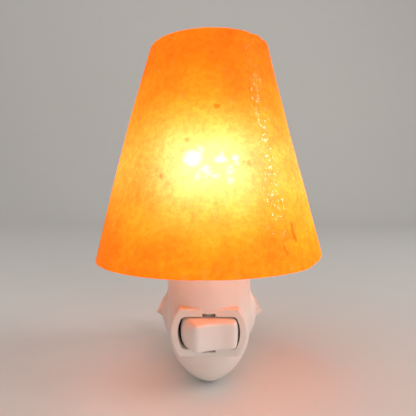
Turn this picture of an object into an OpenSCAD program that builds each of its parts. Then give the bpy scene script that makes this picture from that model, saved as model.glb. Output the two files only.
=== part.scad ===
// Plug-in night light with a turned salt shade, in millimetres.
// The origin is the centre of the outlet face, between the two plug blades.
// +Y points into the wall, +Z is up, and the switch faces -Y.

/* [Shade] */
// Diameter of the salt cone at its underside
shade_bottom_d = 80; // [74:0.5:84]
// Diameter of the salt cone at its top
shade_top_d = 41.6; // [38:0.2:46]
// Height of the salt cone on its axis
shade_h = 73.5; // [72:0.5:80]
// Length of neck that stands inside the shade
shade_overlap = 22.2; // [16:0.2:26]
// Tilt of the saw cut across the top
top_cut_tilt = 1.4; // [0:0.1:3]
// Tilt of the saw cut across the underside
bottom_cut_tilt = 0.6; // [0:0.1:1.5]
// Height of the flat where the lower edge is chipped off on the right
chip_h = 2; // [0.5:0.1:3]
// How far that flat reaches in from the edge
chip_reach = 9.6; // [5:0.1:14]
// Turn of that flat from the front to the right
chip_turn = 85; // [60:1:110]
// Diameter of the cavity round the bulb
cavity_d = 28; // [27:0.2:29]
// Corner radius at the cavity's ceiling
cavity_corner = 3; // [1:0.5:5]
// Free height over the bulb, so that it can be unscrewed
bulb_headroom = 9.8; // [9.4:0.1:11]
// Gap between the neck and the shade's counterbore, a side
shade_gap = 0.6; // [0.3:0.1:1]

/* [Neck and dome] */
// Outside diameter of the neck and of the dome under it
neck_d = 30; // [29:0.2:31]
// Wall of the front housing
wall = 1.8; // [1.4:0.1:2.2]
// Height of the neck's rim over the plug's axis
neck_top = 47.2; // [46:0.2:50]
// Depth under the plug's axis where the dome begins
dome_start = 1; // [0:0.1:3]
// Radius of the dome's side
dome_side_r = 22; // [20:0.5:26]
// Radius of the dome's bottom
dome_bottom_r = 8; // [7:0.1:10]
// Distance from the lamp's axis to the outlet face
axis_offset = 43; // [42.5:0.5:50]

/* [Plug body] */
// Diameter of the plug body at its rim
plug_d = 37.4; // [36.6:0.2:40]
// Diameter of the plug body at the outlet face
plug_back_d = 34.4; // [34:0.2:36]
// Inside diameter of the plug body
plug_bore_d = 30.4; // [30:0.2:31]
// Distance of the rim's parting plane behind the lamp's axis
parting = 15.2; // [15.2:0.1:17]
// Thickness of the rim
rim_t = 2; // [1.5:0.1:3]
// Where the flare leaves the neck, behind the lamp's axis
flare_start = 2; // [0:0.5:4]
// Thickness of the wall that carries the blades
back_t = 2.5; // [2:0.1:3]
// Rounding of the outlet face's edge
back_round = 1.5; // [0.5:0.1:1.8]
// How far the finger ridges stand out of the rim
ridge_reach = 2.2; // [1.5:0.1:3]
// Height of a finger ridge at its root
ridge_root_h = 6.4; // [4:0.2:8]
// Length of the finger ridges on the plug body
ridge_len = 18; // [10:0.5:22]
// Length of the locating lip inside the rim
lip_len = 1.8; // [1:0.1:2.5]
// Wall of the locating lip
lip_t = 1.4; // [1:0.1:1.5]
// Sideways distance of the two housing screws from the plug's axis
screw_x = 11.6; // [11.4:0.1:12]

/* [Switch] */
// Height of the rocker's centre over the plug's axis
rocker_z = 1.6; // [0:0.1:3]
// Diameter of the round sides of the switch pad
pad_d = 25.5; // [25:0.1:26]
// Height of the switch pad between its flat edges
pad_h = 16.3; // [15.6:0.1:17]
// Rounding of the pad's front edge
pad_round = 0.7; // [0.3:0.1:1]
// Diameter of the round sides of the rocker's opening
opening_d = 20.7; // [20.4:0.1:21.4]
// Height of the rocker's opening
opening_h = 10.9; // [10.6:0.1:11.4]
// Corner radius of the opening and of the rocker
opening_corner = 1.6; // [1:0.1:2.2]
// Gap between the rocker and the opening, above and below
rocker_gap = 0.3; // [0.2:0.05:0.4]
// Depth of the rocker's pivot behind the pad's face
pivot_depth = 4.2; // [4:0.1:4.6]
// Angle between the rocker's two positions
rocker_throw = 30; // [24:1:30]
// Half the width of the rocker where it goes into the opening
rocker_half_w = 9.9; // [9.4:0.1:9.9]
// Half the distance between the rocker's two ridges
ridge_half_w = 6.5; // [5.5:0.1:7]
// Height of the rocker's ridges over the pad, with the rocker level
rocker_rise = 5.1; // [4:0.1:5.5]
// Depth of the dish between the ridges
rocker_dish = 1.2; // [0.6:0.1:1.6]
// Radius of the rocker's bowed end walls
rocker_end_r = 16; // [12:1:30]
// Rounding of the rocker's ridges
rocker_round = 1.3; // [0.8:0.1:1.5]
// Draft of the rocker's upper and lower faces
rocker_draft = 0.8; // [0.4:0.1:1.2]
// Diameter of the rocker's trunnions
trunnion_d = 3; // [2.6:0.1:3.2]
// Length of each trunnion
trunnion_len = 1.1; // [0.8:0.1:1.2]
// Width of the notch over each trunnion
notch_w = 4.3; // [3.6:0.1:5]
// Depth of the see-saw contact's pivot behind the rocker's pivot
contact_depth = 5.8; // [5.6:0.1:6.2]
// Angle between the see-saw contact's two positions
contact_throw = 18; // [14:1:18]
// Length of the see-saw contact
contact_len = 10; // [9:0.2:11]
// Thickness of the see-saw contact
contact_t = 0.6; // [0.4:0.05:0.7]
// Thickness of the switch's insulating base
switch_base_t = 1.5; // [1.2:0.1:2]

/* [Lamp holder and bulb] */
// Depth of the bulb's contact under the neck's rim
socket_depth = 22.4; // [21.4:0.1:23]
// Overall length of the bulb
bulb_len = 54; // [53:0.2:54.4]
// Largest diameter of the bulb
bulb_d = 22.5; // [21:0.1:22.9]
// Diameter of the bulb's screw cap
cap_d = 11.6; // [11.2:0.1:11.8]
// Length of the bulb's screw cap
cap_len = 13.5; // [12.5:0.1:14]
// Thread pitch of the screw cap
thread_pitch = 2.54; // [2.4:0.01:2.6]
// Wall of the lamp holder's screw shell
shell_wall = 0.4; // [0.3:0.05:0.6]
// Length of the lamp holder's screw shell
shell_len = 13; // [11.5:0.1:13.4]
// Wall of the insulating insert round the shell
insert_wall = 1.6; // [1.2:0.1:2]
// Thickness of the insert's flange and floor
insert_plate = 2; // [1.6:0.1:2.2]

/* [Plug blades] */
// Distance between the two blades
blade_spacing = 12.7; // [12.6:0.1:12.8]
// Length of the blades outside the outlet face
blade_len = 16.5; // [15.9:0.1:18.3]
// Thickness of the blades
blade_t = 1.5; // [1.4:0.05:1.6]
// Width of the narrow blade
blade_line_w = 6.35; // [6.2:0.05:6.5]
// Width of the wide blade
blade_neutral_w = 7.95; // [7.8:0.05:8.1]
// Length of the blades inside the housing
blade_tail = 9; // [8:0.5:10]
// Thickness of the brass strips
strip_t = 0.5; // [0.4:0.05:0.6]
// Width of the brass strips
strip_w = 4; // [3:0.1:4.2]

/* [Hidden] */
$fn = 96;

// Clearances: a running fit, a loose seat, a slot round a strip and a gap that has to stay open
run_fit = 0.05;
seat_fit = 0.1;
slot_fit = 0.2;
open_gap = 0.3;
// Overshoot of a cut through a face
over = 1;

neck_r = neck_d / 2;
bore_r = neck_r - wall;
shade_z = neck_top - shade_overlap;
shade_slope = (shade_bottom_d - shade_top_d) / 2 / shade_h;
plug_r = plug_d / 2;
plug_bore_r = plug_bore_d / 2;
rim_front = parting - rim_t;
rim_bore_r = plug_bore_r + lip_t + seat_fit;
ridge_tip_r = 0.6;
ridge_root = 1.5;
flare_rise = plug_r - neck_r;
flare_run = rim_front - flare_start;
flare_r = (flare_run * flare_run + flare_rise * flare_rise) / (2 * flare_rise);

// Places of the switch, as distances behind the lamp's axis (in front is negative)
pad_face = -neck_r;
pivot_u = pad_face + pivot_depth;
contact_u = pivot_u + contact_depth;
edge_r = strip_t / 2;
contact_lift = edge_r + run_fit + contact_t;
half_throw = rocker_throw / 2;
half_contact = contact_throw / 2;
plunger_reach = contact_depth - contact_lift - run_fit;
contact_margin = 0.5;
contact_arm = contact_len / 2 - contact_margin;
contact_drop = contact_arm * sin(half_contact) - (edge_r + run_fit) * cos(half_contact);
button_u = contact_u + contact_drop + slot_fit;
button_h = 0.65;
base_front = button_u + button_h + run_fit;
base_back = base_front + switch_base_t;
rocker_half_h = opening_h / 2 - rocker_gap;
rocker_floor = -trunnion_d / 2 - 0.1;
ridge_v = pivot_depth + rocker_rise;
notch_h = 1;
notch_stop = 1;
post_r = 2.4;
post_len = 3.4;
plunger_r = 1.25;
plunger_len = 2.6;
spring_wire = 0.35;
spring_floor = 2;

// Places of the lamp holder and the bulb, as heights over the plug's axis
seat_z = neck_top - socket_depth;
cap_r = cap_d / 2;
contact_h = 1.2;
contact_r = 2.3;
insulator_h = 2.4;
cap_z = seat_z + contact_h + insulator_h;
cap_top = cap_z + cap_len;
shell_r = cap_r + open_gap + shell_wall;
shell_z = cap_z - 0.8;
shell_top = shell_z + shell_len;
insert_r = shell_r + seat_fit;
insert_top = shell_top + 0.5;
insert_drop = 4.2;
insert_floor = seat_z - insert_drop;
ledge_t = 2;
ledge_r = bore_r - 1.6;
bulb_tip = seat_z + bulb_len;
bulb_r = bulb_d / 2;
glass_t = 0.7;
glass_z = cap_top - 1;
glass_neck_r = cap_r - 0.5;
belly_h = 16.5;
belly_z = glass_z + belly_h;
stem_h = 9;
lead_r = 0.25;
filament_z = belly_z + 1.5;
ceiling_z = bulb_tip + bulb_headroom;
leaf_top = seat_z - open_gap;

// Places of the conductors
blade_x = blade_spacing / 2;
blade_inner_x = blade_x - blade_t / 2;
outlet_u = axis_offset;
blade_end_u = outlet_u - back_t - blade_tail;
shoulder_w = 3;
riser_x = -contact_arm;
riser_w = 3;
riser_u = base_back + 0.4;
bus_z = 12;
tab_len = 6;
straight_u = 1;
bend_u = 6;

// Screws
screw_r = 1.45;
screw_head_r = 2.8;
screw_head_h = 1.8;
screw_sink = 8.8;
screw_grip = 7.2;
screw_seat_u = parting + screw_sink;
screw_tip_u = parting - screw_grip;
recess_w = 0.8;
recess_margin = 1;
front_boss_r = 3.3;
front_boss_len = screw_grip + 2.5;
rear_boss_wall = 1.1;
rear_boss_r = screw_head_r + open_gap + rear_boss_wall;

// Moves children to the lamp's upright axis
module at_lamp_axis() {
    translate([0, -axis_offset, 0]) children();
}

// Turns children so that their Z runs from the lamp's axis to the wall
module towards_wall(z = 0) {
    translate([0, -axis_offset, z]) rotate([-90, 0, 0]) children();
}

// Extrudes an outline in X and Z between two distances behind the lamp's axis
module front_slab(from, to, z = 0) {
    translate([0, to - axis_offset, z]) rotate([90, 0, 0]) linear_extrude(to - from) children();
}

// Extrudes an outline in Y and Z between two places on X, with Y counted from the lamp's axis
module side_slab(from, to, z = 0) {
    translate([from, -axis_offset, z]) rotate([90, 0, 90]) linear_extrude(to - from) children();
}

// Extrudes an outline in X and Y between two heights, with Y counted from the lamp's axis
module plan_slab(from, to) {
    translate([0, -axis_offset, from]) linear_extrude(to - from) children();
}

// Circle with flat upper and lower edges and rounded corners
module drum_outline(r, half_h, corner) {
    corner_x = sqrt(pow(r - corner, 2) - pow(half_h - corner, 2));
    touch_z = (half_h - corner) * r / (r - corner);
    intersection() {
        circle(r);
        square([2 * r, 2 * touch_z], center = true);
    }
    square([2 * corner_x, 2 * half_h], center = true);
    for (sx = [-1, 1], sz = [-1, 1])
        translate([sx * corner_x, sz * (half_h - corner)]) circle(corner);
}

// Upright neck that ends below in a dome of two arcs, set in from the outside by inset
module neck_and_dome(inset, top) {
    reach = dome_side_r - dome_bottom_r;
    across = dome_side_r - neck_r;
    drop = sqrt(reach * reach - across * across);
    side_r = dome_side_r - inset;
    touch_z = -dome_start - side_r * drop / reach;
    at_lamp_axis() rotate_extrude() {
        translate([0, -dome_start]) square([neck_r - inset, top + dome_start]);
        intersection() {
            translate([-across, -dome_start]) circle(side_r);
            translate([0, touch_z]) square([neck_r, -dome_start - touch_z + over]);
        }
        intersection() {
            translate([0, -dome_start - drop]) circle(dome_bottom_r - inset);
            translate([0, -dome_start - drop - neck_r]) square(2 * neck_r);
        }
    }
}

// Half section of the flare from the neck to the rim, set in from the outside by inset
module flare_half(inset, rim_r, end) {
    difference() {
        translate([0, flare_start]) square([plug_r - inset, flare_run]);
        translate([neck_r + flare_r, flare_start]) circle(flare_r + inset);
    }
    translate([0, rim_front - 0.01]) square([rim_r, end - rim_front + 0.01]);
}

// Pointed finger ridge on each side of the plug body
module finger_ridges(from, to) {
    tip_x = plug_r + ridge_reach - ridge_tip_r;
    root_x = plug_r - ridge_root;
    front_slab(from, to)
        for (side = [-1, 1]) scale([side, 1]) {
            polygon([[root_x, -ridge_root_h / 2], [tip_x, -ridge_tip_r * 0.8],
                [tip_x, ridge_tip_r * 0.8],
                [root_x, ridge_root_h / 2]]);
            translate([tip_x, 0]) circle(ridge_tip_r);
        }
}

// Switch pad: a short round drum with flat upper and lower edges and a rounded front edge
module switch_pad() {
    pad_r = pad_d / 2;
    depth = base_front - pad_face;
    intersection() {
        towards_wall(rocker_z) rotate_extrude() {
            translate([0, pad_face]) square([pad_r - pad_round, depth]);
            translate([0, pad_face + pad_round]) square([pad_r, depth - pad_round]);
            translate([pad_r - pad_round, pad_face + pad_round]) circle(pad_round);
        }
        side_slab(-pad_d, pad_d, rocker_z) {
            translate([pad_face, pad_round - pad_h / 2]) square([depth, pad_h - 2 * pad_round]);
            translate([pad_face + pad_round, -pad_h / 2]) square([depth - pad_round, pad_h]);
            for (side = [-1, 1])
                translate([pad_face + pad_round, side * (pad_h / 2 - pad_round)]) circle(pad_round);
        }
    }
}

// Shafts of the two housing screws' holes or bosses
module screw_pair(r, from, to) {
    for (side = [-1, 1])
        translate([side * screw_x, 0, 0]) towards_wall() translate([0, 0, from]) cylinder(r = r, h = to - from);
}

// Wire wound on a helix along Z, as one closed tube
module coil(r, wire_r, length, turns, steps = 10, sides = 6) {
    rings = turns * steps;
    points = [for (i = [0 : rings], j = [0 : sides - 1])
        let (a = 360 * i / steps, b = 360 * j / sides, q = r + wire_r * cos(b))
        [q * cos(a), q * sin(a), wire_r + (length - 2 * wire_r) * i / rings + wire_r * sin(b)]];
    walls = [for (i = [0 : rings - 1], j = [0 : sides - 1])
        let (p = i * sides + j, n = i * sides + (j + 1) % sides)
        each [[p, p + sides, n], [n, p + sides, n + sides]]];
    ends = [for (j = [1 : sides - 2])
        each [[0, j, j + 1], [rings * sides, rings * sides + j + 1, rings * sides + j]]];
    polyhedron(points, concat(walls, ends));
}

// Turned cone of salt with two saw cuts, a chipped edge and a blind stepped bore from below
module salt_shade() {
    spare = 3;
    slab = 1.25 * shade_bottom_d;
    color([1, 0.6, 0.2])
    at_lamp_axis() difference() {
        translate([0, 0, shade_z - spare])
            cylinder(r1 = shade_bottom_d / 2 + spare * shade_slope, r2 = shade_top_d / 2 - spare * shade_slope,
                h = shade_h + 2 * spare);
        translate([0, 0, shade_z + shade_h]) rotate([0, -top_cut_tilt, 0])
            translate([-slab / 2, -slab / 2, 0]) cube([slab, slab, 3 * spare]);
        translate([0, 0, shade_z]) rotate([0, -bottom_cut_tilt, 0]) {
            translate([-slab / 2, -slab / 2, -3 * spare]) cube([slab, slab, 3 * spare]);
            rotate([0, 0, chip_turn - 90]) translate([shade_bottom_d / 2 - chip_reach, 0, 0])
                rotate([0, -atan(chip_h / chip_reach), 0])
                    translate([0, -slab / 2, -3 * spare]) cube([slab / 2, slab, 3 * spare]);
        }
        translate([0, 0, shade_z - 2 * spare])
            cylinder(r = neck_r + shade_gap, h = neck_top - shade_z + 2 * spare);
        rotate_extrude() {
            translate([0, neck_top - over]) square([cavity_d / 2, ceiling_z - neck_top + over - cavity_corner]);
            translate([0, neck_top]) square([cavity_d / 2 - cavity_corner, ceiling_z - neck_top]);
            translate([cavity_d / 2 - cavity_corner, ceiling_z - cavity_corner]) circle(cavity_corner);
        }
    }
}

// Neck, dome, switch pad and flared rim, moulded in one piece
module front_housing() {
    color([0.96, 0.95, 0.92])
    difference() {
        union() {
            difference() {
                union() {
                    neck_and_dome(0, neck_top);
                    towards_wall() rotate_extrude() flare_half(0, plug_r, parting);
                    finger_ridges(rim_front, parting);
                }
                neck_and_dome(wall, neck_top + over);
                towards_wall() rotate_extrude() flare_half(wall, rim_bore_r, parting + over);
            }
            switch_pad();
            at_lamp_axis() translate([0, 0, insert_top - insert_plate - ledge_t]) difference() {
                cylinder(r = bore_r + wall / 2, h = ledge_t);
                translate([0, 0, -over]) cylinder(r = ledge_r, h = ledge_t + 2 * over);
            }
            screw_pair(front_boss_r, parting - front_boss_len, parting);
        }
        front_slab(pad_face - over, base_front + over, rocker_z)
            drum_outline(opening_d / 2, opening_h / 2, opening_corner);
        at_lamp_axis() translate([0, pivot_u, rocker_z]) {
            bearing_h = rocker_half_h + trunnion_len + slot_fit;
            cylinder(r = trunnion_d / 2 + run_fit, h = 2 * bearing_h, center = true);
            translate([-notch_w / 2, -pivot_depth - over, -opening_h / 2 - notch_h])
                cube([notch_w, pivot_depth + over - notch_stop, opening_h + 2 * notch_h]);
        }
        screw_pair(screw_r + run_fit, screw_tip_u - open_gap, parting + over);
    }
}

// Plug body behind the rim, with the outlet face, the blade slots and deep screw holes
module rear_housing() {
    back_r = plug_back_d / 2;
    color([0.96, 0.95, 0.92])
    difference() {
        union() {
            towards_wall() rotate_extrude() difference() {
                union() {
                    polygon([[0, parting], [plug_r, parting], [back_r, outlet_u - back_round],
                        [back_r - back_round, outlet_u], [0, outlet_u]]);
                    translate([back_r - back_round, outlet_u - back_round]) circle(back_round);
                    translate([0, parting - lip_len]) square([plug_bore_r + lip_t, lip_len + 0.5]);
                }
                translate([0, parting - lip_len - over])
                    square([plug_bore_r, outlet_u - back_t - parting + lip_len + over]);
            }
            finger_ridges(parting, parting + ridge_len);
            screw_pair(rear_boss_r, parting, outlet_u - back_t);
        }
        screw_pair(screw_r + slot_fit, parting - over, screw_seat_u + over);
        screw_pair(screw_head_r + open_gap, screw_seat_u, outlet_u + over);
        for (blade = [[-1, blade_neutral_w], [1, blade_line_w]])
            front_slab(outlet_u - back_t - over, outlet_u + over)
                translate([blade[0] * blade_x, 0])
                    square([blade_t + 2 * run_fit, blade[1] + 2 * run_fit], center = true);
    }
}

// Plan outline of the rocker when level: bowed end walls, a dished face and rounded ridges
module rocker_plan() {
    foot_v = 1.7;
    dx = rocker_half_w - ridge_half_w;
    dv = ridge_v - foot_v;
    half_chord = sqrt(dx * dx + dv * dv) / 2;
    sag = sqrt(rocker_end_r * rocker_end_r - half_chord * half_chord);
    end_x = (rocker_half_w + ridge_half_w) / 2 - sag * dv / (2 * half_chord);
    end_v = (foot_v + ridge_v) / 2 - sag * dx / (2 * half_chord);
    dish_r = (ridge_half_w * ridge_half_w + rocker_dish * rocker_dish) / (2 * rocker_dish);
    offset(r = rocker_round, $fn = 32) offset(delta = -rocker_round)
        difference() {
            intersection() {
                translate([end_x, -end_v]) circle(rocker_end_r);
                translate([-end_x, -end_v]) circle(rocker_end_r);
                translate([-rocker_half_w, -ridge_v - over])
                    square([2 * rocker_half_w, ridge_v + over - rocker_floor]);
            }
            translate([0, -(ridge_v - rocker_dish + dish_r)]) circle(dish_r, $fn = 200);
        }
}

// Drum along the rocker's depth, from behind the pivot to in front of the ridges
module rocker_block(r) {
    rotate([90, 0, 0]) translate([0, 0, -opening_h]) linear_extrude(opening_h + 2 * ridge_v)
        drum_outline(r, rocker_half_h, opening_corner);
}

// Rocker in its on position, with trunnions above and below and a hollow post behind.
// It is cut by its opening's outline in both positions, so that it clears the opening's round sides.
module rocker() {
    face_v = ridge_v + over;
    color([0.96, 0.95, 0.92])
    at_lamp_axis() translate([0, pivot_u, rocker_z]) rotate([0, 0, half_throw]) difference() {
        union() {
            intersection() {
                translate([0, 0, -opening_h]) linear_extrude(2 * opening_h) rocker_plan();
                rocker_block(rocker_half_w);
                rotate([0, 0, half_throw]) rocker_block(opening_d / 2 - rocker_gap);
                rotate([0, 0, -half_throw]) rocker_block(opening_d / 2 - rocker_gap);
                translate([-rocker_half_w, 0, 0]) rotate([90, 0, 90]) linear_extrude(2 * rocker_half_w)
                    polygon([[-rocker_floor + over, -rocker_half_h], [-pivot_depth, -rocker_half_h],
                        [-face_v, rocker_draft - rocker_half_h], [-face_v, rocker_half_h - rocker_draft],
                        [-pivot_depth, rocker_half_h], [-rocker_floor + over, rocker_half_h]]);
            }
            cylinder(r = trunnion_d / 2, h = 2 * (rocker_half_h + trunnion_len), center = true);
            rotate([-90, 0, 0]) cylinder(r = post_r, h = post_len);
        }
        rotate([-90, 0, 0]) translate([0, 0, -spring_floor])
            cylinder(r = plunger_r + seat_fit, h = spring_floor + post_len + over);
    }
}

// Moves children into the rocker's post, with Z along the post towards the contact
module in_rocker_post() {
    at_lamp_axis() translate([0, pivot_u, rocker_z]) rotate([0, 0, half_throw]) rotate([-90, 0, 0]) children();
}

// Compression spring between the post's floor and the plunger
module switch_spring() {
    spring_len = plunger_reach - plunger_len + spring_floor;
    color([0.7, 0.7, 0.72])
    in_rocker_post() translate([0, 0, run_fit - spring_floor])
        coil(plunger_r - seat_fit - spring_wire / 2, spring_wire / 2, spring_len - 2 * run_fit, 5, 12);
}

// Round-nosed pin that the spring pushes on the see-saw contact
module switch_plunger() {
    color([0.85, 0.65, 0.3])
    in_rocker_post() translate([0, 0, plunger_reach - plunger_len]) {
        cylinder(r = plunger_r, h = plunger_len - plunger_r);
        translate([0, 0, plunger_len - plunger_r]) sphere(plunger_r);
    }
}

// See-saw contact, tipped to its closed position
module switch_contact() {
    color([0.85, 0.65, 0.3])
    at_lamp_axis() translate([0, contact_u, rocker_z]) rotate([0, 0, -half_contact])
        translate([-contact_len / 2, -contact_lift, -strip_w / 2]) cube([contact_len, contact_t, strip_w]);
}

// Insulating plate that closes the switch chamber, with slots for two strips
module switch_base() {
    half_w = sqrt(bore_r * bore_r - base_front * base_front) - 0.8;
    color([0.25, 0.2, 0.18])
    front_slab(base_front, base_back, rocker_z) difference() {
        drum_outline(half_w, pad_h / 2 - 1, opening_corner);
        square([strip_t + 2 * seat_fit, strip_w + 2 * seat_fit], center = true);
        translate([riser_x, 0])
            square([riser_w + 2 * seat_fit, strip_t + 2 * seat_fit], center = true);
    }
}

// Strip from the line blade to the rounded edge that the see-saw contact rocks on
module line_strip() {
    blade_side = blade_inner_x - strip_t;
    color([0.85, 0.65, 0.3])
    plan_slab(rocker_z - strip_w / 2, rocker_z + strip_w / 2) {
        polygon([[blade_side, blade_end_u + tab_len], [blade_side, bend_u], [-edge_r, straight_u],
            [-edge_r, contact_u], [edge_r, contact_u], [edge_r, straight_u],
            [blade_inner_x, bend_u], [blade_inner_x, blade_end_u + tab_len]]);
        translate([0, contact_u]) circle(edge_r);
    }
}

// Strip from the switch's fixed contact up to the leaf under the bulb
module load_strip() {
    color([0.85, 0.65, 0.3]) {
        translate([riser_x, 0, rocker_z]) towards_wall() translate([0, 0, button_u]) cylinder(r = 1.3, h = button_h);
        side_slab(riser_x - riser_w / 2, riser_x + riser_w / 2) {
            translate([button_u, rocker_z - strip_t / 2]) square([riser_u - button_u + strip_t, strip_t]);
            translate([riser_u, rocker_z - strip_t / 2])
                square([strip_t, leaf_top - rocker_z + strip_t / 2]);
        }
        plan_slab(leaf_top - strip_t, leaf_top)
            translate([riser_x - riser_w / 2, riser_u])
                square([contact_r - riser_x + riser_w / 2, contact_r - riser_u]);
    }
}

// Strip from the neutral blade to the side of the lamp holder's shell
module neutral_strip() {
    half_w = strip_w / 2;
    shell_u = shell_r + seat_fit;
    tab_x = -blade_inner_x;
    color([0.85, 0.65, 0.3]) {
        side_slab(-half_w, half_w)
            translate([shell_u, bus_z]) square([strip_t, shell_z + tab_len - bus_z]);
        plan_slab(bus_z, bus_z + strip_t)
            polygon([[-half_w, shell_u], [half_w, shell_u], [half_w, shell_u + 4], [tab_x + strip_w, blade_end_u],
                [tab_x + strip_w, blade_end_u + strip_w], [tab_x, blade_end_u + strip_w],
                [tab_x, blade_end_u - strip_w]]);
        side_slab(tab_x, tab_x + strip_t)
            translate([blade_end_u, -half_w]) square([strip_w, bus_z + half_w + strip_t]);
    }
}

// Insulating cup in the neck, with a flange on the neck's ledge
module lampholder_insert() {
    tube_r = insert_r + insert_wall;
    color([0.9, 0.88, 0.84])
    difference() {
        at_lamp_axis() rotate_extrude() difference() {
            union() {
                translate([0, insert_floor]) square([tube_r, insert_top - insert_floor]);
                translate([0, insert_top - insert_plate]) square([bore_r - seat_fit, insert_plate]);
            }
            translate([0, insert_floor + insert_plate]) square([insert_r, insert_top - insert_floor]);
        }
        plan_slab(insert_floor - over, insert_floor + insert_plate + over)
            translate([riser_x - riser_w / 2 - seat_fit, riser_u - seat_fit])
                square([riser_w + 2 * seat_fit, strip_t + 2 * seat_fit]);
        plan_slab(insert_floor - over, shell_z + tab_len + open_gap)
            translate([-strip_w / 2 - slot_fit, insert_r - 1])
                square([strip_w + 2 * slot_fit, insert_wall + 2]);
    }
}

// Brass screw shell of the lamp holder
module lampholder_shell() {
    color([0.85, 0.65, 0.3])
    at_lamp_axis() translate([0, 0, shell_z]) difference() {
        cylinder(r = shell_r, h = shell_len);
        translate([0, 0, -over]) cylinder(r = shell_r - shell_wall, h = shell_len + 2 * over);
    }
}

// One plug blade: a pierced tongue with a tapered tip and a shoulder behind the outlet face
module blade(side, width) {
    taper = 1.6;
    hole_r = 1.6;
    hole_from_face = 11.7;
    hole_u = outlet_u + hole_from_face;
    tip_u = outlet_u + blade_len;
    inside_u = outlet_u - back_t;
    color([0.85, 0.65, 0.3])
    side_slab(side * blade_x - blade_t / 2, side * blade_x + blade_t / 2) difference() {
        union() {
            polygon([[blade_end_u, -width / 2], [tip_u - taper, -width / 2], [tip_u, taper - width / 2],
                [tip_u, width / 2 - taper], [tip_u - taper, width / 2], [blade_end_u, width / 2]]);
            translate([inside_u - shoulder_w, -width / 2 - 1]) square([shoulder_w, width + 2]);
        }
        translate([hole_u, 0]) circle(hole_r);
    }
}

module blade_line() {
    blade(1, blade_line_w);
}

module blade_neutral() {
    blade(-1, blade_neutral_w);
}

// Two screws from the outlet face, their heads deep in the plug body
module housing_screws() {
    color([0.75, 0.75, 0.78])
    difference() {
        union() {
            screw_pair(screw_r, screw_tip_u, screw_seat_u);
            screw_pair(screw_head_r, screw_seat_u, screw_seat_u + screw_head_h);
        }
        for (side = [-1, 1])
            front_slab(screw_seat_u + screw_head_h / 2, screw_seat_u + screw_head_h + over)
                translate([side * screw_x, 0]) {
                    square([2 * (screw_head_r - recess_margin), recess_w], center = true);
                    square([recess_w, 2 * (screw_head_r - recess_margin)], center = true);
                }
    }
}

// Outline of the bulb from its neck over the belly to the tip, set in by inset
function glass_points(inset, steps = 14) = let (
    shoulder_z = cap_top + slot_fit,
    low_h = belly_z - shoulder_z,
    high_h = bulb_tip - inset - belly_z,
    neck = glass_neck_r - inset,
    belly = bulb_r - inset)
    concat(
        [[neck, glass_z]],
        [for (i = [0 : steps]) let (w = i / steps)
            [neck + (belly - neck) * pow(sin(90 * w), 1.25), shoulder_z + low_h * w]],
        [for (i = [1 : steps]) let (a = 90 * i / steps)
            [belly * pow(cos(a), 0.92), belly_z + high_h * pow(sin(a), 1.12)]]);

// Blown glass bulb
module bulb_glass() {
    color([0.95, 0.95, 0.9, 0.5])
    at_lamp_axis() rotate_extrude() difference() {
        polygon(concat([[0, glass_z]], glass_points(0)));
        polygon(concat([[0, glass_z - over], [glass_neck_r - glass_t, glass_z - over]], glass_points(glass_t)));
    }
}

// Brass screw cap of the bulb, closed round the glass neck
module bulb_cap() {
    cap_wall = 0.35;
    color([0.85, 0.65, 0.3])
    at_lamp_axis() rotate_extrude() difference() {
        union() {
            translate([0, cap_z]) square([cap_r, cap_len]);
            polygon([[0, cap_z - 0.6], [cap_r - 1.2, cap_z - 0.6], [cap_r, cap_z], [0, cap_z]]);
        }
        translate([0, cap_z + cap_wall]) square([cap_r - cap_wall, cap_len]);
        translate([0, cap_z - over]) square([contact_r + 0.5, 2 * over]);
    }
}

// Dark insulating button at the bottom of the cap
module bulb_insulator() {
    color([0.1, 0.1, 0.12])
    at_lamp_axis() rotate_extrude()
        polygon([[0, seat_z + contact_h], [contact_r + 0.3, seat_z + contact_h],
            [cap_r - 1.2, cap_z - 0.6 - seat_fit], [contact_r + 0.4, cap_z - 0.6 - seat_fit],
            [contact_r + 0.4, cap_z + 0.3], [0, cap_z + 0.3]]);
}

// Rounded solder contact
module bulb_contact() {
    color([0.75, 0.75, 0.78])
    at_lamp_axis() translate([0, 0, seat_z]) intersection() {
        cylinder(r = contact_r, h = contact_h);
        translate([0, 0, contact_r * 1.5]) sphere(contact_r * 1.5);
    }
}

// Pressed glass stem that closes the bulb's neck and carries the leads
module bulb_stem() {
    foot_r = glass_neck_r - glass_t - run_fit;
    color([0.9, 0.92, 0.9, 0.6])
    at_lamp_axis() rotate_extrude()
        polygon([[0, glass_z], [foot_r, glass_z], [foot_r, glass_z + 0.8], [foot_r - 2, glass_z + 2],
            [1.6, glass_z + stem_h - 1], [1.2, glass_z + stem_h], [0, glass_z + stem_h]]);
}

// Two lead wires that spread from the stem to the ends of the filament
module bulb_leads() {
    foot_z = glass_z + stem_h + lead_r;
    foot_x = 0.9;
    spread = 4.2;
    lead_h = filament_z - foot_z;
    lean = atan((spread - foot_x) / lead_h);
    color([0.75, 0.75, 0.78])
    at_lamp_axis() for (side = [-1, 1])
        translate([side * foot_x, 0, foot_z]) rotate([0, side * lean, 0])
            cylinder(r = lead_r, h = lead_h / cos(lean), $fn = 24);
}

// Coiled filament between the leads
module bulb_filament() {
    coil_len = 7.4;
    color([0.9, 0.85, 0.7])
    at_lamp_axis() translate([-coil_len / 2, 0, filament_z]) rotate([0, 90, 0])
        coil(0.4, 0.12, coil_len, 8, 8, 5);
}

salt_shade();
front_housing();
rear_housing();
rocker();
switch_spring();
switch_plunger();
switch_contact();
switch_base();
line_strip();
load_strip();
neutral_strip();
lampholder_insert();
lampholder_shell();
blade_line();
blade_neutral();
housing_screws();
bulb_glass();
bulb_cap();
bulb_insulator();
bulb_contact();
bulb_stem();
bulb_leads();
bulb_filament();
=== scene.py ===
import math

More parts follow.
